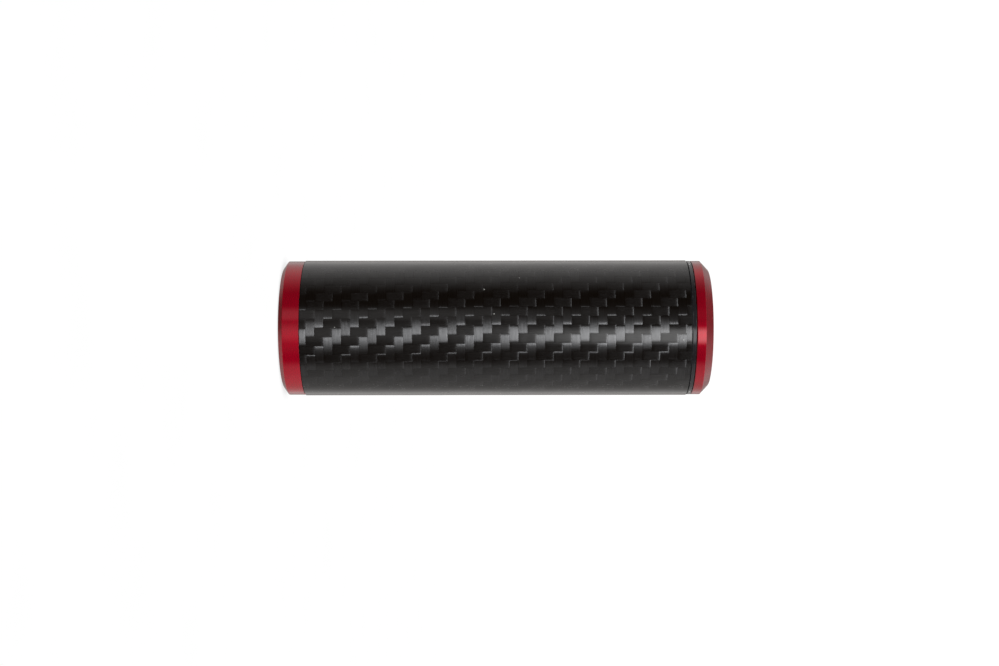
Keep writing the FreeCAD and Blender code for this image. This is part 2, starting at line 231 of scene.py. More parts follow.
class Graph:
    """Short names for the nodes of one material or world."""

    def __init__(self, owner):
        owner.use_nodes = True
        self.tree = owner.node_tree
        self.tree.nodes.clear()

    def feed(self, socket, value):
        if isinstance(value, bpy.types.NodeSocket):
            self.tree.links.new(value, socket)
        else:
            socket.default_value = value

    def node(self, kind, inputs=None, **settings):
        made = self.tree.nodes.new(kind)
        for key, value in settings.items():
            setattr(made, key, value)
        for key, value in (inputs or {}).items():
            self.feed(made.inputs[key], value)
        return made

    def math(self, operation, *values):
        made = self.node("ShaderNodeMath", operation=operation)
        for index, value in enumerate(values):
            self.feed(made.inputs[index], value)
        return made.outputs[0]

    def vector_math(self, operation, *values):
        made = self.node("ShaderNodeVectorMath", operation=operation)
        for index, value in enumerate(values):
            self.feed(made.inputs[index], value)
        return made.outputs[0]

    def scaled(self, vector, factor):
        made = self.node("ShaderNodeVectorMath", operation="SCALE")
        self.feed(made.inputs[0], vector)
        self.feed(made.inputs["Scale"], factor)
        return made.outputs[0]

    def distance(self, x, y):
        """How far a point lies from the vertical axis."""
        return self.math("SQRT", self.math("ADD", self.math("MULTIPLY", x, x), self.math("MULTIPLY", y, y)))

    def normal(self):
        return self.node("ShaderNodeNewGeometry").outputs["Normal"]

    def join(self, x=0.0, y=0.0, z=0.0):
        return self.node("ShaderNodeCombineXYZ", {"X": x, "Y": y, "Z": z}).outputs[0]

    def split(self, vector):
        made = self.node("ShaderNodeSeparateXYZ", {"Vector": vector})
        return made.outputs[0], made.outputs[1], made.outputs[2]

    def remap(self, value, low, high, to_low=0.0, to_high=1.0):
        """Goes smoothly from one number to another as the value goes from low to high."""
        made = self.node("ShaderNodeMapRange", interpolation_type="SMOOTHSTEP")
        for index, entry in enumerate((value, low, high, to_low, to_high)):
            self.feed(made.inputs[index], entry)
        return made.outputs[0]

    def mix(self, factor, first, second):
        """Blends two numbers."""
        made = self.node("ShaderNodeMix", data_type="FLOAT")
        for index, value in ((0, factor), (2, first), (3, second)):
            self.feed(made.inputs[index], value)
        return made.outputs[0]

    def mix_vector(self, factor, first, second):
        made = self.node("ShaderNodeMix", data_type="VECTOR")
        for index, value in ((0, factor), (4, first), (5, second)):
            self.feed(made.inputs[index], value)
        return made.outputs[1]

    def mix_colour(self, factor, first, second):
        made = self.node("ShaderNodeMix", data_type="RGBA")
        for index, value in ((0, factor), (6, first), (7, second)):
            self.feed(made.inputs[index], value)
        return made.outputs[2]

    def noise(self, vector, scale, detail=2.0, roughness=0.5):
        inputs = {"Vector": vector, "Scale": scale, "Detail": detail, "Roughness": roughness}
        return self.node("ShaderNodeTexNoise", inputs).outputs[0]

    def random(self, vector):
        """A value from 0 to 1 that is fixed for each whole-number vector."""
        return self.node("ShaderNodeTexWhiteNoise", {"Vector": vector}).outputs[0]

    def place(self):
        return self.node("ShaderNodeTexCoord").outputs["Object"]

    def turned(self, vector, source, target):
        made = self.node("ShaderNodeVectorTransform", {"Vector": vector})
        made.vector_type = "VECTOR"
        made.convert_from = source
        made.convert_to = target
        return made.outputs[0]

    def to_world(self, vector):
        return self.turned(vector, "OBJECT", "WORLD")

    def to_object(self, vector):
        return self.turned(vector, "WORLD", "OBJECT")

    def surface(self, inputs):
        shader = self.node("ShaderNodeBsdfPrincipled", inputs)
        output = self.node("ShaderNodeOutputMaterial")
        self.tree.links.new(shader.outputs[0], output.inputs["Surface"])
        return shader


def rgb(red, green, blue):
    return (red, green, blue, 1.0)


# ---- materials

HOOP_TOWS = 48
AXIAL_PITCH = 12.861 * MM
FIRST_COLUMN = 54.2 * MM
FIRST_ROW = math.radians(-14.8)
TWIST = math.radians(2.6)
TWIST_ENDS = (20.0 * MM, 360.0 * MM)
TOW_END_TILT = 0.30
TOW_SIDE_TILT = 0.10
TOW_GREY = (0.0195, 0.0198, 0.0205)
WANDER = 0.16
PRINT_THROUGH = 0.05
PEEL_TILT = 0.035


def carbon_weave():
    """Clear-coated 2x2 twill: hoop tows and axial tows, two over and two under, one step per tow."""
    material = bpy.data.materials.new("carbon_weave")
    g = Graph(material)
    place = g.place()
    x, y, z = g.split(place)

    # the tows wander a little, so the grid isn't ruled, and the cloth is wrapped slightly askew
    wander = g.noise(place, 22.0, 1.0)
    wander_z = g.math("MULTIPLY", g.math("SUBTRACT", wander, 0.5), WANDER)
    wander_2 = g.noise(g.vector_math("ADD", place, (3.1, 1.7, 0.4)), 16.0, 1.0)
    wander_a = g.math("MULTIPLY", g.math("SUBTRACT", wander_2, 0.5), WANDER)
    twist = g.remap(z, TWIST_ENDS[0], TWIST_ENDS[1], 0.0, TWIST)

    angle = g.math("ADD", g.math("ARCTAN2", x, g.math("MULTIPLY", y, -1.0)), twist)
    row_at = g.math("DIVIDE", g.math("SUBTRACT", angle, FIRST_ROW), 2 * math.pi / HOOP_TOWS)
    row_at = g.math("ADD", g.math("ADD", row_at, wander_a), 4.0 * HOOP_TOWS)
    column_at = g.math("DIVIDE", g.math("SUBTRACT", z, FIRST_COLUMN), AXIAL_PITCH)
    column_at = g.math("ADD", g.math("ADD", column_at, wander_z), 4.0 * HOOP_TOWS)
    row = g.math("FLOOR", row_at)
    column = g.math("FLOOR", column_at)
    in_row = g.math("FRACT", row_at)
    in_column = g.math("FRACT", column_at)

    diagonal = g.math("ADD", row, column)
    step = g.math("MODULO", diagonal, 4.0)
    block = g.math("FLOOR", g.math("DIVIDE", diagonal, 4.0))
    axial_on_top = g.math("GREATER_THAN", step, 1.5)

    hoop_along = g.math("DIVIDE", g.math("ADD", step, in_row), 2.0)
    axial_along = g.math("DIVIDE", g.math("ADD", g.math("SUBTRACT", step, 2.0), in_column), 2.0)
    along = g.mix(axial_on_top, hoop_along, axial_along)
    across = g.mix(axial_on_top, in_column, in_row)
    tow = g.mix(axial_on_top, column, g.math("ADD", row, 500.0))
    seed = g.random(g.join(tow, block))
    seed_2 = g.random(g.join(tow, block, 7.0))

    def signed_power(value, power):
        centred = g.math("SUBTRACT", g.math("MULTIPLY", value, 2.0), 1.0)
        size = g.math("POWER", g.math("ABSOLUTE", centred), power)
        return g.math("MULTIPLY", size, g.math("SIGN", centred))

    # fibre bundles inside a tow: fine streaks that run along it
    tow_offset = g.math("MULTIPLY", seed, 91.0)
    bundle = g.join(g.math("MULTIPLY", across, 22.0), g.math("MULTIPLY", along, 1.6), tow_offset)
    streak = g.math("SUBTRACT", g.noise(bundle, 1.0, 3.0, 0.65), 0.5)

    end_tilt = g.math("MULTIPLY", signed_power(along, g.mix(axial_on_top, 7.0, 4.5)), TOW_END_TILT)
    lean = g.math("MULTIPLY", g.math("SUBTRACT", seed, 0.5), 0.03)
    tilt_along = g.math("ADD", g.math("ADD", end_tilt, lean), g.math("MULTIPLY", streak, 0.05))
    side_tilt = g.math("MULTIPLY", signed_power(across, 3.0), TOW_SIDE_TILT)
    tilt_across = g.math("ADD", side_tilt, g.math("MULTIPLY", streak, 0.25))

    # surface directions: round the hoop (the way the row number grows) and up the axis
    radius = g.distance(x, y)
    hoop_x = g.math("DIVIDE", g.math("MULTIPLY", y, -1.0), radius)
    hoop = g.to_world(g.join(hoop_x, g.math("DIVIDE", x, radius)))
    axial = g.to_world(g.join(0.0, 0.0, 1.0))
    fibre = g.mix_vector(axial_on_top, hoop, axial)
    over = g.mix_vector(axial_on_top, axial, hoop)
    normal = g.normal()
    leaning = g.vector_math("ADD", g.scaled(fibre, tilt_along), g.scaled(over, tilt_across))
    tilted = g.vector_math("NORMALIZE", g.vector_math("ADD", normal, leaning))

    # resin-rich dark seams where a tow dives
    seam_end = g.remap(g.math("ABSOLUTE", signed_power(along, 1.0)), 0.95, 1.0, 1.0, 0.4)
    seam_side = g.remap(g.math("ABSOLUTE", signed_power(across, 1.0)), 0.92, 1.0, 1.0, 0.5)
    seam = g.math("MULTIPLY", seam_end, seam_side)
    shade = g.math("MULTIPLY", seam, g.remap(seed_2, 0.0, 1.0, 0.85, 1.15))
    shade = g.math("MULTIPLY", shade, g.remap(streak, -0.25, 0.25, 0.7, 1.3))
    grey = g.scaled(TOW_GREY, shade)

    # a few dust specks lie on the coat
    specks = g.node("ShaderNodeTexVoronoi", {"Vector": place, "Scale": 55.0})
    chosen = g.math("GREATER_THAN", g.split(specks.outputs["Color"])[0], 0.9)
    near = g.math("LESS_THAN", specks.outputs["Distance"], 0.035)
    speck = g.math("MULTIPLY", chosen, near)
    colour = g.mix_colour(speck, grey, rgb(0.2, 0.2, 0.19))

    # the coat: a faint print-through of the cloth under an uneven skin of resin
    peel = g.node("ShaderNodeTexNoise", {"Vector": place, "Scale": 42.0, "Detail": 2.0})
    peel_tilt = g.scaled(g.vector_math("SUBTRACT", peel.outputs["Color"], (0.5, 0.5, 0.5)), PEEL_TILT)
    coat_tilt = g.vector_math("ADD", peel_tilt, g.scaled(leaning, PRINT_THROUGH))
    coat_normal = g.vector_math("NORMALIZE", g.vector_math("ADD", normal, coat_tilt))

    haze = g.noise(place, 9.0, 3.0)
    g.surface({
        "Coat Normal": coat_normal,
        "Base Color": colour,
        "Metallic": g.math("MULTIPLY", g.math("SUBTRACT", 1.0, speck), 0.988),
        "Roughness": g.remap(haze, 0.3, 0.7, 0.43, 0.47),
        "Anisotropic": 0.95,
        "Tangent": over,
        "Normal": tilted,
        "Specular Tint": rgb(0.12, 0.12, 0.12),
        "Coat Weight": 1.0,
        "Coat Roughness": 0.08,
        "Coat IOR": 1.5,
    })
    return material


def inner_carbon():
    """The tube's bare inside: peel-ply texture, matt."""
    material = bpy.data.materials.new("carbon_inside")
    g = Graph(material)
    place = g.place()
    grain = g.noise(place, 900.0, 2.0)
    cloud = g.noise(place, 30.0, 3.0)
    bump = g.node("ShaderNodeBump", {"Height": grain, "Strength": 0.4, "Distance": 0.0003})
    g.surface({
        "Base Color": g.mix_colour(cloud, rgb(0.012, 0.012, 0.013), rgb(0.028, 0.028, 0.03)),
        "Roughness": g.remap(grain, 0.2, 0.8, 0.45, 0.7),
        "Normal": bump.outputs[0],
    })
    return material


def turned_metal(name, colour, worn, edges, chamfer_painted_light=1.0, metallic=0.83, roughness=0.26, lay=0.02):
    """Anodised metal off the lathe: dyed oxide over bright metal, fine circular lay, thin edge wear, and
    painted light and shade on the chamfer.
    """
    material = bpy.data.materials.new(name)
    g = Graph(material)
    place = g.place()
    x, y, z = g.split(place)
    radius = g.distance(x, y)
    section = g.join(radius, z)
    fine = g.noise(section, 2600.0, 2.0, 0.7)
    coarse = g.noise(section, 420.0, 2.0, 0.5)
    cloud = g.noise(place, 14.0, 3.0, 0.6)

    normal = g.normal()
    round_way = g.to_world(g.join(g.math("MULTIPLY", y, -1.0), x))
    across = g.vector_math("NORMALIZE", g.vector_math("CROSS_PRODUCT", normal, round_way))
    broad = g.math("MULTIPLY", g.math("SUBTRACT", coarse, 0.5), 0.6)
    groove = g.math("ADD", g.math("SUBTRACT", fine, 0.5), broad)
    tilted = g.vector_math("ADD", normal, g.scaled(across, g.math("MULTIPLY", groove, lay)))

    # wear shows within a fraction of a millimetre of each turned edge, and only in places
    nearest = None
    for edge_radius, edge_height in edges:
        off = g.vector_math("SUBTRACT", section, (edge_radius, edge_height, 0.0))
        away = g.node("ShaderNodeVectorMath", {0: off}, operation="LENGTH").outputs["Value"]
        nearest = away if nearest is None else g.math("MINIMUM", nearest, away)
    patches = g.noise(place, 60.0, 5.0, 0.7)
    reach = g.remap(patches, 0.5, 0.8, 0.1 * MM, 0.8 * MM)
    wear = g.math("MULTIPLY", g.math("LESS_THAN", nearest, reach), 0.5)

    # the chamfer's base colour is scaled by the chamfer tone: painted light and shade, lighter or darker to
    # stand in for how the lamps fall on the chamfer
    deep = tuple(0.82 * channel for channel in colour)
    base = g.mix_colour(g.remap(cloud, 0.3, 0.7), rgb(*deep), rgb(*colour))
    slope = g.math("ABSOLUTE", g.split(g.to_object(normal))[2])
    painted_light_on_chamfer = g.math("MULTIPLY", g.remap(slope, 0.2, 0.5), g.remap(slope, 0.9, 0.97, 1.0, 0.0))
    base = g.scaled(base, g.mix(painted_light_on_chamfer, 1.0, chamfer_painted_light))
    g.surface({
        "Base Color": g.mix_colour(wear, base, rgb(*worn)),
        "Metallic": metallic,
        "Roughness": g.remap(fine, 0.3, 0.7, roughness - 0.03, roughness + 0.03),
        "Normal": g.vector_math("NORMALIZE", tilted),
        "Specular IOR Level": 0.0,
        "Specular Tint": rgb(0.35, 0.35, 0.35),
        "Coat Weight": 1.0,
        "Coat Roughness": 0.06,
        "Coat IOR": 1.5,
    })
    return material


def plain_material(name, colour, roughness, metallic=0.0, grain=400.0, depth=0.05 * MM, gloss=0.5):
    """A small part's finish: mottled colour, uneven gloss and a fine grain."""
    material = bpy.data.materials.new(name)
    g = Graph(material)
    place = g.place()
    fine = g.noise(place, grain, 3.0, 0.6)
    cloud = g.noise(place, grain / 12, 2.0)
    dark = tuple(0.75 * channel for channel in colour)
    bump = g.node("ShaderNodeBump", {"Height": fine, "Strength": 0.5, "Distance": depth})
    g.surface({
        "Base Color": g.mix_colour(g.remap(cloud, 0.3, 0.7), rgb(*dark), rgb(*colour)),
        "Metallic": metallic,
        "Roughness": g.remap(fine, 0.25, 0.75, roughness * 0.8, roughness * 1.2),
        "Specular IOR Level": gloss,
        "Normal": bump.outputs[0],
    })
    return material


def small_steel(name, brushed=False):
    """Stainless steel: circular tool marks about the piece's own axis, or brush marks along Y."""
    material = bpy.data.materials.new(name)
    g = Graph(material)
    place = g.place()
    x, y, z = g.split(place)
    normal = g.normal()
    if not brushed:
        radius = g.distance(x, y)
        fine = g.noise(g.join(radius, z), 3800.0, 3.0, 0.7)
        tangent = g.to_world(g.join(g.math("MULTIPLY", y, -1.0), x))
    else:
        fine = g.noise(g.join(g.math("MULTIPLY", x, 3200.0), g.math("MULTIPLY", y, 60.0), z), 1.0, 3.0, 0.7)
        tangent = g.to_world(g.join(0.0, 1.0, 0.0))
    cloud = g.noise(place, 160.0, 3.0, 0.6)
    across = g.vector_math("NORMALIZE", g.vector_math("CROSS_PRODUCT", normal, tangent))
    lay = g.math("MULTIPLY", g.math("SUBTRACT", fine, 0.5), 0.10)
    g.surface({
        "Base Color": g.mix_colour(g.remap(cloud, 0.3, 0.7), rgb(0.46, 0.45, 0.43), rgb(0.60, 0.59, 0.57)),
        "Metallic": 1.0,
        "Roughness": g.remap(fine, 0.3, 0.7, 0.24, 0.36),
        "Anisotropic": 0.5,
        "Tangent": tangent,
        "Normal": g.vector_math("NORMALIZE", g.vector_math("ADD", normal, g.scaled(across, lay))),
    })
    return material


FOOT_R = BAND_R - FOOT_CHAMFER[0]
FACE_R = BAND_R - LID_CHAMFER[0]
LID_CHAMFER_Z = TOP - LID_CHAMFER[1]
LID_RIM_Z = LID_CHAMFER_Z - LID_BAND
CAP_EDGES = [(BAND_R, FOOT_CHAMFER[1]), (FOOT_R, 0.0), (BAND_R, CAP_SHOULDER)]
LID_EDGES = [(FACE_R, TOP), (BAND_R, LID_CHAMFER_Z), (BAND_R, LID_RIM_Z)]
COLLAR_EDGES = [(BAND_R, COLLAR_HIGH.z - SHADOW_STEP), (BAND_R, COLLAR_HIGH.z - COLLAR_FLANGE)]
RED = (0.285, 0.0003, 0.0112)
RED_WORN = (0.45, 0.09, 0.11)
BLACK = (0.016, 0.016, 0.019)
BLACK_WORN = (0.2, 0.2, 0.21)
BRIGHT_STEEL = (0.56, 0.55, 0.53)

weave = carbon_weave()
inside = inner_carbon()
# the cap's chamfer is painted lighter and the lid's chamfer painted darker, standing in for how the lamps
# fall on them
red_cap = turned_metal("red_cap", RED, RED_WORN, CAP_EDGES, chamfer_painted_light=1.45)
red_lid = turned_metal("red_lid", RED, RED_WORN, LID_EDGES, chamfer_painted_light=0.46)
black_ring = turned_metal("black_ring", BLACK, BLACK_WORN, COLLAR_EDGES, roughness=0.34)
adhesive = plain_material("adhesive", (0.006, 0.006, 0.0065), 0.75, gloss=0.08)
# near-black matt finish for the collar's shadow step: partly a real matt finish, partly painted shade that
# darkens the gap
matt_black_painted_shade = plain_material("matt_black_painted_shade", (0.004, 0.004, 0.0045), 0.7, grain=900.0, gloss=0.08)
rubber = plain_material("rubber", (0.018, 0.018, 0.019), 0.6, grain=1500.0)
pin_steel = plain_material("stainless", BRIGHT_STEEL, 0.28, metallic=1.0, grain=2200.0, depth=0.01 * MM)
steel = small_steel("turned_steel")
brushed = small_steel("brushed_steel", brushed=True)
acetal = plain_material("acetal", (0.78, 0.77, 0.73), 0.42, grain=900.0, depth=0.01 * MM)


# ---- pieces

def make_tube():
    item = lathed("tube_skin", (
        (BORE_R, TUBE_LOW.z),
        (TUBE_R, TUBE_LOW.z, CRISP_EDGE),
        (TUBE_R, TUBE_HIGH.z),
        (BORE_R, TUBE_HIGH.z),
    ), segments=384)
    item.data.materials.append(weave)
    item.data.materials.append(inside)
    middle = (BORE_R + TUBE_R) / 2
    for face in item.data.polygons:
        centre = face.center
        if math.hypot(centre.x, centre.y) < middle:
            face.material_index = 1
    stand_for(item, weave, "canister", "carbon_tube", slot="carbon")


def make_cap():
    floor_under = 2.0 * MM
    floor_top = 4.6 * MM
    inner_r = SPIGOT_R - CAP_SPIGOT_WALL
    item = lathed("base_cap", (
        (0.0, floor_under),
        (CAP_FLOOR_R, floor_under, EDGE),
        (CAP_FOOT_INNER_R, 0.0, EDGE),
        (FOOT_R, 0.0, EDGE),
        (BAND_R, FOOT_CHAMFER[1], SOFT_EDGE),
        (BAND_R, CAP_SHOULDER),
        (SPIGOT_R, CAP_SHOULDER),
        (SPIGOT_R, CAP_HIGH.z, EDGE / 2),
        (inner_r, CAP_HIGH.z, EDGE),
        (inner_r, floor_top, 6.0 * MM),
        (0.0, floor_top),
    ))
    stand_for(item, red_cap, "canister", "bottom_cap", slot="red_anodised")


def make_collar():
    top = COLLAR_HIGH.z
    inner_r = SPIGOT_R - COLLAR_SPIGOT_WALL
    lead_in = 1.2 * MM
    item = lathed("mouth_ring", (
        (inner_r, COLLAR_LOW.z, EDGE),
        (SPIGOT_R, COLLAR_LOW.z, EDGE / 2),
        (SPIGOT_R, top - COLLAR_FLANGE),
        (BAND_R, top - COLLAR_FLANGE, CRISP_EDGE),
        (BAND_R, top - SHADOW_STEP),
        (BAND_R - SHADOW_DEPTH, top - SHADOW_STEP),
        (BAND_R - SHADOW_DEPTH, top),
        (LIP_R + lead_in, top, EDGE / 2),
        (LIP_R, top - lead_in, EDGE / 2),
        (LIP_R, top - LIP, EDGE / 2),
        (inner_r, top - LIP),
    ))
    item.data.materials.append(black_ring)
    item.data.materials.append(matt_black_painted_shade)
    # the shadow step's faces take the near-black matt finish: painted shade in the gap, which the lamps
    # leave lit
    for face in item.data.polygons:
        in_painted_shade_step = face.center.z > top - SHADOW_STEP - CRISP_EDGE / 4
        away = math.hypot(face.center.x, face.center.y)
        if in_painted_shade_step and away > BAND_R - SHADOW_DEPTH - CRISP_EDGE:
            face.material_index = 1
    stand_for(item, black_ring, "canister", "mouth_collar", slot="black_anodised")


def make_bond_line(name, node, recess, line, far_end):
    """Epoxy squeezed out between two edges: a hollow meniscus at the gap and a thin layer behind it."""
    low, high = line
    face = BAND_R - recess
    dip = 0.5 * MM
    middle = (low + high) / 2
    if far_end > high:
        back = ((BORE_R, high), (BORE_R, far_end), (SPIGOT_R, far_end), (SPIGOT_R, low))
    else:
        back = ((SPIGOT_R, high), (SPIGOT_R, far_end), (BORE_R, far_end), (BORE_R, low))
    item = lathed(name, ((face, low), (max(face - dip, BORE_R), middle), (face, high)) + back)
    stand_for(item, adhesive, "canister", node, slot="adhesive")


def make_bonds():
    make_bond_line("base_bond_line", "bottom_bond", 0.6 * MM, (CAP_SHOULDER, TUBE_LOW.z), CAP_HIGH.z)
    shoulder = COLLAR_HIGH.z - COLLAR_FLANGE
    make_bond_line("mouth_bond_line", "mouth_bond", 0.9 * MM, (TUBE_HIGH.z, shoulder), COLLAR_LOW.z)


def latch_centre(angle):
    return LATCH_CIRCLE * math.cos(angle), LATCH_CIRCLE * math.sin(angle)


def cutter(name, corners, centre, segments=96):
    """A turned tool about its own upright axis, used up by a boolean."""
    verts, faces = [], []
    lathe_into(verts, faces, outline(corners), segments, centre=centre)
    return make_object(name, verts, faces)


def make_lid():
    skirt_r = LIP_R - 0.4 * MM
    skirt_bottom = LID_LOW.z
    plate_under = TOP - LID_PLATE
    seal_low, seal_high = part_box("lid_seal")
    groove_r = seal_high.x - 3.0 * MM
    slack = 0.2 * MM
    verts, faces = [], []
    lathe_into(verts, faces, outline((
        (0.0, plate_under),
        (LID_POCKET_R, plate_under, 4.0 * MM),
        (LID_POCKET_R, skirt_bottom, EDGE / 2),
        (skirt_r, skirt_bottom, EDGE),
        (skirt_r, seal_low.z - slack),
        (groove_r, seal_low.z - slack),
        (groove_r, seal_high.z + slack),
        (skirt_r, seal_high.z + slack),
        (skirt_r, LID_RIM_Z),
        (BAND_R, LID_RIM_Z, SOFT_EDGE),
        (BAND_R, LID_CHAMFER_Z, CRISP_EDGE),
        (FACE_R, TOP, EDGE),
        (0.0, TOP),
    )), ROUND)
    item = make_object("lid_skin", verts, faces)
    bosses, cuts = [], []
    rim = 0.5 * MM
    over = 2.0 * MM
    for angle in LATCH_ANGLES:
        centre = latch_centre(angle)
        bosses.append(cutter("boss", (
            (0.0, BUSH_LOW.z),
            (BOSS_R, BUSH_LOW.z, EDGE),
            (BOSS_R, plate_under + over / 2),
            (0.0, plate_under + over / 2),
        ), centre))
        cuts.append(cutter("recess", (
            (0.0, BUSH_LOW.z - over),
            (BUSH_R, BUSH_LOW.z - over),
            (BUSH_R, TOP - RECESS_DEPTH),
            (RECESS_R, TOP - RECESS_DEPTH, EDGE),
            (RECESS_R, TOP - rim),
            (RECESS_R + rim + over, TOP + over),
            (0.0, TOP + over),
        ), centre))
        for turned, size in ((0.0, LOCKED_MARK_R), (math.pi / 2, OPEN_MARK_R)):
            spot = (
                centre[0] + MARK_OFFSET * math.cos(angle + turned),
                centre[1] + MARK_OFFSET * math.sin(angle + turned),
            )
            cuts.append(cutter("mark", (
                (0.0, TOP - 0.6 * MM),
                (size * 0.7, TOP - 0.5 * MM),
                (size + over, TOP + over * 1.1),
                (0.0, TOP + over * 1.1),
            ), spot, segments=32))
    boolean(item, "UNION", bosses)
    boolean(item, "DIFFERENCE", cuts)
    item.data.shade_smooth()
    item.data.set_sharp_from_angle(angle=CUT_SHARP_ANGLE)
    item.data.materials.clear()
    even_normals(item)
    stand_for(item, red_lid, "lid", "lid", slot="red_anodised")


# Latch pieces are drawn about their own latch's axis, with +X pointing outwards, as in the CAD.

SHAFT_R = 5.0 * MM
THREAD_R = 3.0 * MM
THREAD_PITCH = 1.0 * MM
THREAD_DEPTH = 0.55 * MM
DRIVE_HALF = 3.5 * MM
DRIVE_SQUARE = (
    (-DRIVE_HALF, -DRIVE_HALF),
    (DRIVE_HALF, -DRIVE_HALF),
    (DRIVE_HALF, DRIVE_HALF),
    (-DRIVE_HALF, DRIVE_HALF),
)
HEAD_R = 14.5 * MM
SLOT_HALF_LENGTH = 12.0 * MM
SLOT_HALF_WIDTH = 1.3 * MM
SLOT_DEPTH = 2.4 * MM
ARM_HALF_WIDTH = 10.0 * MM
ARM_REACH = 29.0 * MM
ARM_TIP_CUT = 4.0 * MM
ARM_CORNER = 4.1 * MM
PIN_R = 2.0 * MM
PIN_PLACES = ((-12.3 * MM, 7.0 * MM), (7.0 * MM, -12.3 * MM))
NUT_HALF_FLATS = 5.0 * MM
NUT_FACE_R = 4.9 * MM
NUT_CORNER_CUT = 0.6 * MM
THRUST_WASHER_R = 13.5 * MM
SPRING_WASHER_R = 9.5 * MM
NUT_WASHER_R = 8.5 * MM
FINE_EDGE = 0.3 * MM


def at_latch(item, angle):
    """Stands a piece that was drawn about the origin at one latch, turned to face outwards."""
    centre = latch_centre(angle)
    place = Matrix.Translation(Vector((centre[0], centre[1], 0.0)))
    item.matrix_world = place @ Matrix.Rotation(angle, 4, "Z")
    return item


def prism(name, levels):
    """A solid through stacked outlines, each (height, points), lowest first and all of one length."""
    verts, faces = [], []
    count = len(levels[0][1])
    for height, points in levels:
        for point in points:
            verts.append((point[0], point[1], height))
    for level in range(len(levels) - 1):
        low = level * count
        for step in range(count):
            after = (step + 1) % count
            faces.append((low + step, low + after, low + count + after, low + count + step))
    faces.append(tuple(reversed(range(count))))
    top = (len(levels) - 1) * count
    faces.append(tuple(top + step for step in range(count)))
    return make_object(name, verts, faces)


def stadium(half_length, half_width, steps=12):
    """Outline of a slot along Y with round ends."""
    points = []
    straight = half_length - half_width
    for step in range(2 * steps + 2):
        share = step if step <= steps else step - 1
        turn = math.pi * share / steps
        shift = straight if step <= steps else -straight
        points.append((half_width * math.cos(turn), shift + half_width * math.sin(turn)))
    return points


def softened(item, width):
    """Rounds every sharp edge of a small part."""
    modifier = item.modifiers.new("edges", "BEVEL")
    modifier.width = width
    modifier.segments = 3
    modifier.limit_method = "ANGLE"
    modifier.angle_limit = math.radians(40)
    return even_normals(item)


def heights(kind):
    low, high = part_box(f"latch_{kind}_a")
    return low.z, high.z


def make_screw(letter, angle):
    """Turned screw: a coin-slotted head, a round shaft, a square drive for the arm and a threaded end."""
    bottom, top = heights("screw")
    arm_low, arm_high = heights("arm")
    nut_low = heights("nut")[0]
    head_under = heights("thrust_washer")[1]
    corners = [(0.0, bottom), (THREAD_R - THREAD_DEPTH, bottom, FINE_EDGE)]
    height = bottom + THREAD_PITCH / 2
    while height + THREAD_PITCH < nut_low + 2 * THREAD_PITCH:
        corners.append((THREAD_R - THREAD_DEPTH, height))
        corners.append((THREAD_R, height + THREAD_PITCH / 2))
        height += THREAD_PITCH
    corners += [
        (THREAD_R, height),
        (THREAD_R, arm_high),
        (SHAFT_R, arm_high),
        (SHAFT_R, head_under),
        (HEAD_R, head_under, FINE_EDGE),
        (HEAD_R, top, 1.1 * MM),
        (0.0, top),
    ]
    item = cutter(f"latch_{letter}_screw", corners, (0.0, 0.0), segments=128)
    narrow = stadium(SLOT_HALF_LENGTH, SLOT_HALF_WIDTH)
    wide = stadium(SLOT_HALF_LENGTH + 2 * FINE_EDGE, SLOT_HALF_WIDTH + 2 * FINE_EDGE)
    slot = prism("slot", ((top - SLOT_DEPTH, narrow), (top - FINE_EDGE, narrow), (top + FINE_EDGE, wide)))
    boolean(item, "DIFFERENCE", [slot])
    drive = prism("drive", ((arm_low, DRIVE_SQUARE), (arm_high, DRIVE_SQUARE)))
    boolean(item, "UNION", [drive])
    finish_small(item, steel, f"latch_{letter}", f"latch_screw_{letter}", "stainless", angle)


def make_arm(letter, angle):
    """Flat arm with rounded corners that lies along +Y when open."""
    low, high = heights("arm")
    width, cut = ARM_HALF_WIDTH, ARM_TIP_CUT
    corners = (
        (-width, -ARM_CORNER, 6.0 * MM),
        (-ARM_CORNER, -width, 6.0 * MM),
        (ARM_CORNER, -width, 6.0 * MM),
        (width, -ARM_CORNER, 6.0 * MM),
        (width, ARM_REACH - cut, 3.0 * MM),
        (width - cut, ARM_REACH, 3.0 * MM),
        (cut - width, ARM_REACH, 3.0 * MM),
        (-width, ARM_REACH - cut, 3.0 * MM),
    )
    points = outline(corners)
    item = prism(f"latch_{letter}_arm", ((low, points), (high, points)))
    square = prism("square", ((low - MM, DRIVE_SQUARE), (high + MM, DRIVE_SQUARE)))
    boolean(item, "DIFFERENCE", [square])
    softened(item, 0.5 * MM)
    finish_small(item, brushed, f"latch_{letter}", f"latch_arm_{letter}", "stainless", angle)


def make_nut(letter, angle):
    """Hexagon nut with its corners turned off above and below."""
    low, high = heights("nut")
    corner_r = NUT_HALF_FLATS / math.cos(math.radians(30))
    hexagon = [
        (corner_r * math.cos(math.radians(60 * side)), corner_r * math.sin(math.radians(60 * side)))
        for side in range(6)
    ]
    item = prism(f"latch_{letter}_nut", ((low, hexagon), (high, hexagon)))
    turned_off = cutter("turned_off", (
        (THREAD_R, low + FINE_EDGE),
        (THREAD_R + FINE_EDGE, low),
        (NUT_FACE_R, low),
        (corner_r + 0.1 * MM, low + NUT_CORNER_CUT),
        (corner_r + 0.1 * MM, high - NUT_CORNER_CUT),
        (NUT_FACE_R, high),
        (THREAD_R, high),
    ), (0.0, 0.0), segments=64)
    boolean(item, "INTERSECT", [turned_off])
    finish_small(item, steel, f"latch_{letter}", f"latch_nut_{letter}", "stainless", angle)


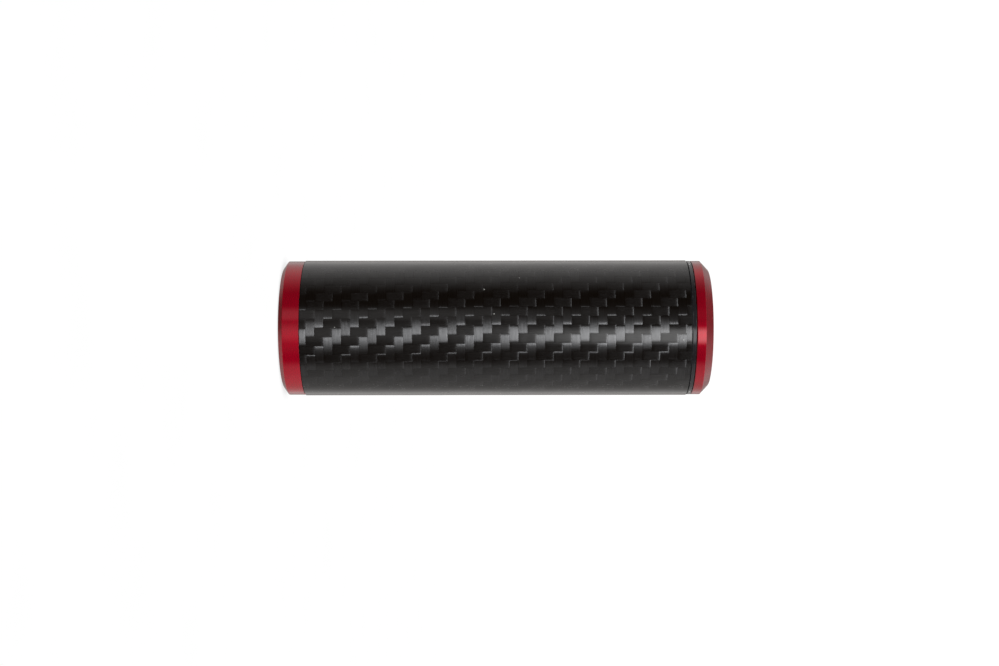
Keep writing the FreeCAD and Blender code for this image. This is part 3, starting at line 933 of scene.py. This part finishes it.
def make_ring_piece(letter, angle, kind, inner, outer, body, slot, material, wave=0.0, thick=None):
    """A washer or bush with broken edges. A wave bends it into a spring washer."""
    low, high = heights(kind)
    if thick:
        middle = (low + high) / 2
        low, high = middle - thick / 2, middle + thick / 2
    verts, faces = [], []
    edge = min(0.2 * MM, 0.3 * (high - low))
    lathe_into(verts, faces, outline((
        (inner, low, edge),
        (outer, low, edge),
        (outer, high, edge),
        (inner, high, edge),
    )), 96)
    if wave:
        verts = [(x, y, z + wave * math.sin(3 * math.atan2(y, x))) for x, y, z in verts]
    item = even_normals(make_object(f"latch_{letter}_{kind}", verts, faces))
    finish_small(item, material, body, f"latch_{kind}_{letter}", slot, angle)


def finish_small(item, material, body, node, slot, angle):
    """Shades a latch piece, stands it at its latch and hands it to its body."""
    item.data.materials.clear()
    item.data.shade_smooth()
    item.data.set_sharp_from_angle(angle=CUT_SHARP_ANGLE)
    if not item.modifiers:
        even_normals(item)
    at_latch(item, angle)
    stand_for(item, material, body, node, slot=slot)


def make_latches():
    spring = 0.5 * MM
    for letter, angle in zip("abc", LATCH_ANGLES):
        body = f"latch_{letter}"
        make_screw(letter, angle)
        make_arm(letter, angle)
        make_nut(letter, angle)
        wave = (heights("spring_washer")[1] - heights("spring_washer")[0] - spring) / 2
        washers = (
            ("thrust_washer", SHAFT_R, THRUST_WASHER_R, body, "acetal", acetal, 0.0, None),
            ("spring_washer", SHAFT_R, SPRING_WASHER_R, body, "stainless", steel, wave, spring),
            ("nut_washer", THREAD_R, NUT_WASHER_R, body, "stainless", steel, 0.0, None),
            ("bush", SHAFT_R + 0.05 * MM, BUSH_R, "lid", "acetal", acetal, 0.0, None),
        )
        for washer in washers:
            make_ring_piece(letter, angle, *washer)


def make_pins():
    """Six stop pins with domed ends."""
    low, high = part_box("latch_stop_pins")
    verts, faces = [], []
    for angle in LATCH_ANGLES:
        centre = latch_centre(angle)
        for across, up in PIN_PLACES:
            place = (
                centre[0] + across * math.cos(angle) - up * math.sin(angle),
                centre[1] + across * math.sin(angle) + up * math.cos(angle),
            )
            profile = outline(((0.0, low.z), (PIN_R, low.z, 0.8 * MM), (PIN_R, high.z), (0.0, high.z)))
            lathe_into(verts, faces, profile, 32, closed=False, centre=place)
    item = even_normals(make_object("stop_pins", verts, faces))
    stand_for(item, pin_steel, "lid", "latch_stop_pins", slot="stainless")


def make_seal():
    """Round rubber cord, with the faint moulding line round its outside."""
    low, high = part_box("lid_seal")
    half = (high.z - low.z) / 2
    middle = (high.z + low.z) / 2
    centre_r = high.x - half
    points = []
    steps = 28
    for step in range(steps):
        turn = 2 * math.pi * step / steps
        reach = half * (1.0 if step else 0.985)
        points.append(Vector((centre_r + reach * math.cos(turn), middle + reach * math.sin(turn))))
    verts, faces = [], []
    lathe_into(verts, faces, points, ROUND)
    item = make_object("seal_cord", verts, faces)
    stand_for(item, rubber, "lid", "lid_seal", slot="rubber_seal")


make_tube()
make_cap()
make_collar()
make_bonds()
make_lid()
make_seal()
make_pins()
make_latches()

# ---- studio

# bearing and rise in degrees, width of the disc in degrees, strength on the weave and on the rest
FRONT_KEY = (13.5, 44.0, 30.0, 15.6, 19.5)
BACK_KEY = (190.0, 45.0, 30.0, 11.0, 11.0)
# strengths of two small fills: low in front, and high at the right
FOOT_LIGHT = 1.0
WING_LIGHT = 3.0
WARM_GAP = (0.06, 0.034, 0.018)


def make_world():
    """White surroundings at the sides, a dim gap in front and behind, and faint soft fills in front.

    bearing is the direction's angle from straight in front, in degrees towards +X, and rise is its
    angle above the level. The camera sees plain white instead of these surroundings.
    """
    world = bpy.data.worlds.new("studio")
    bpy.context.scene.world = world
    g = Graph(world)
    x, y, z = g.split(g.node("ShaderNodeTexCoord").outputs["Generated"])
    flat = g.distance(x, y)
    bearing = g.math("MULTIPLY", g.math("ARCTAN2", x, g.math("MULTIPLY", y, -1.0)), 180 / math.pi)
    back_bearing = g.math("MULTIPLY", g.math("ARCTAN2", g.math("MULTIPLY", x, -1.0), y), 180 / math.pi)
    rise = g.math("MULTIPLY", g.math("ARCTAN2", z, flat), 180 / math.pi)

    def band(value, low, low_full, high_full, high):
        return g.math("MULTIPLY", g.remap(value, low, low_full), g.remap(value, high_full, high, 1.0, 0.0))

    left = g.remap(bearing, -58.0, -120.0, 0.0, 0.88)
    left = g.math("MULTIPLY", left, g.remap(rise, 25.0, 60.0, 1.0, 0.45))
    right = g.math("ADD", g.remap(bearing, 56.0, 74.0, 0.0, 0.45), g.remap(bearing, 74.0, 100.0, 0.0, 0.13))
    right = g.math("ADD", right, g.remap(bearing, 118.0, 155.0, 0.0, 0.32))
    behind = g.remap(g.math("ABSOLUTE", back_bearing), 14.0, 34.0, 0.4, 1.0)
    sides = g.math("MULTIPLY", g.math("ADD", left, right), behind)
    over = g.remap(rise, 48.0, 66.0)
    over_level = g.remap(x, -0.1, 0.25, 0.22, 0.63)
    under = g.remap(rise, -35.0, -60.0)
    under_level = g.remap(x, -0.05, 0.12, 0.1, 0.46)
    around = g.mix(under, g.mix(over, sides, over_level), under_level)

    # in the front gap, each fill is a band of bearings and how its strength goes with the rise
    fills_in_front = []
    for bearings, rises in (
        ((-42.0, -24.0, 34.0, 50.0), (7.0, -2.0, 0.02, 0.08)),
        ((-38.0, -25.0, -18.0, -10.0), (5.0, -4.0, 0.03, 0.32)),
        ((-3.0, 9.0, 20.0, 31.5), (-2.0, 7.0, 0.0, 2.7)),
        ((-12.0, 6.0, 11.0, 29.0), (7.0, -2.0, 0.0, 0.38)),
    ):
        fills_in_front.append(g.math("MULTIPLY", band(bearing, *bearings), g.remap(rise, *rises)))
    plateau, strip, near, low = fills_in_front
    front = g.math("ADD", g.math("ADD", plateau, strip), g.math("ADD", near, low))
    front = g.math("MULTIPLY", front, band(rise, -30.0, -20.0, 20.0, 30.0))
    foot = g.math("MULTIPLY", band(bearing, -16.0, -9.0, 1.0, 8.0), band(rise, -74.0, -64.0, -50.0, -42.0))
    wing = g.math("MULTIPLY", band(bearing, 70.0, 86.0, 112.0, 126.0), band(rise, 24.0, 34.0, 54.0, 64.0))
    fills = g.math("ADD", g.math("MULTIPLY", foot, FOOT_LIGHT), g.math("MULTIPLY", wing, WING_LIGHT))
    light = g.math("ADD", around, g.math("ADD", front, fills))

    seen = g.node("ShaderNodeBackground", {"Color": rgb(1.0, 1.0, 1.0), "Strength": 1.05})
    grey = g.join(light, light, light)
    lit = g.node("ShaderNodeBackground", {"Color": g.vector_math("ADD", grey, WARM_GAP), "Strength": 1.0})
    camera_ray = g.node("ShaderNodeLightPath").outputs["Is Camera Ray"]
    both = g.node("ShaderNodeMixShader", {0: camera_ray, 1: lit.outputs[0], 2: seen.outputs[0]})
    output = g.node("ShaderNodeOutputWorld")
    g.tree.links.new(both.outputs[0], output.inputs["Surface"])
    world.cycles.sampling_method = "MANUAL"
    world.cycles.sample_map_resolution = 1024


def make_keys():
    """Soft key lights high in front and behind, one of each pair for the weave and one for the rest.

    Only the weave mirrors them: on polished faces their mirror image would burn out, so there they light
    the dye alone.
    """
    weave_pieces = bpy.data.collections.new("weave_pieces")
    polished_pieces = bpy.data.collections.new("polished_pieces")
    for item in bpy.context.scene.objects:
        if item.type == "MESH":
            wanted = weave_pieces if item.name == "tube_skin" else polished_pieces
            wanted.objects.link(item)
    for place, key in (("front", FRONT_KEY), ("back", BACK_KEY)):
        bearing, rise, width, on_weave, on_rest = key
        for pieces, mirrored, strength in (
            (weave_pieces, True, on_weave),
            (polished_pieces, False, on_rest),
        ):
            data = bpy.data.lights.new(f"{place}_key", "SUN")
            data.energy = strength
            data.angle = math.radians(width)
            lamp = bpy.data.objects.new(f"{place}_key", data)
            bpy.context.scene.collection.objects.link(lamp)
            turn = Matrix.Rotation(math.radians(bearing), 4, "Z")
            lean = Matrix.Rotation(math.radians(90.0 - rise), 4, "X")
            lamp.matrix_world = turn @ lean
            lamp.visible_glossy = mirrored
            lamp.light_linking.receiver_collection = pieces


FLOOR_R = 7.0


def make_floor():
    """A plain pale floor that the canister stands on, glowing evenly, with a painted contact shadow that
    dims its glow where the two nearly touch.
    """
    verts, faces = [], []
    lathe_into(verts, faces, [Vector((0.0, 0.0)), Vector((FLOOR_R, 0.0))], 96, closed=False)
    floor = make_object("floor", verts, [tuple(reversed(face)) for face in faces])
    material = bpy.data.materials.new("floor_white")
    g = Graph(material)
    grain = g.noise(g.place(), 6.0, 2.0)
    # ambient occlusion dims the glow near the canister: a painted contact shadow
    painted_shadow_openness = g.node("ShaderNodeAmbientOcclusion", {"Distance": 0.02}, samples=16).outputs["AO"]
    mottle = g.remap(grain, 0.0, 1.0, 0.995, 1.015)
    strength = g.math("MULTIPLY", mottle, g.remap(painted_shadow_openness, 0.0, 0.9, 0.8, 1.0))
    glow = g.node("ShaderNodeEmission", {"Color": rgb(1.0, 1.0, 1.0), "Strength": strength})
    output = g.node("ShaderNodeOutputMaterial")
    g.tree.links.new(glow.outputs[0], output.inputs["Surface"])
    floor.data.materials.append(material)
    floor.visible_glossy = False


# how far off, how high up and how far aside the camera stands, its lens in mm and its roll
CAMERA_REACH = 24.53 * TUBE_R
CAMERA_RISE = 0.32245
CAMERA_DROP = 0.0081
CAMERA_LENS = 59.43
CAMERA_ROLL = math.radians(0.07)


def make_camera():
    """Square on to the canister's side, rolled so that its axis lies level, lid to the right."""
    data = bpy.data.cameras.new("camera")
    data.lens = CAMERA_LENS
    data.sensor_width = 36.0
    camera = bpy.data.objects.new("camera", data)
    bpy.context.scene.collection.objects.link(camera)
    right = Vector((0.0, 0.0, 1.0))
    up = Vector((-1.0, 0.0, 0.0))
    back = right.cross(up)
    axes = Matrix((right, up, back)).transposed().to_4x4()
    place = Matrix.Translation(Vector((CAMERA_DROP, -CAMERA_REACH, CAMERA_RISE)))
    camera.matrix_world = place @ axes @ Matrix.Rotation(-CAMERA_ROLL, 4, "Z")
    bpy.context.scene.camera = camera


make_world()
make_keys()
make_floor()
make_camera()
bpy.context.scene.view_settings.view_transform = "Standard"
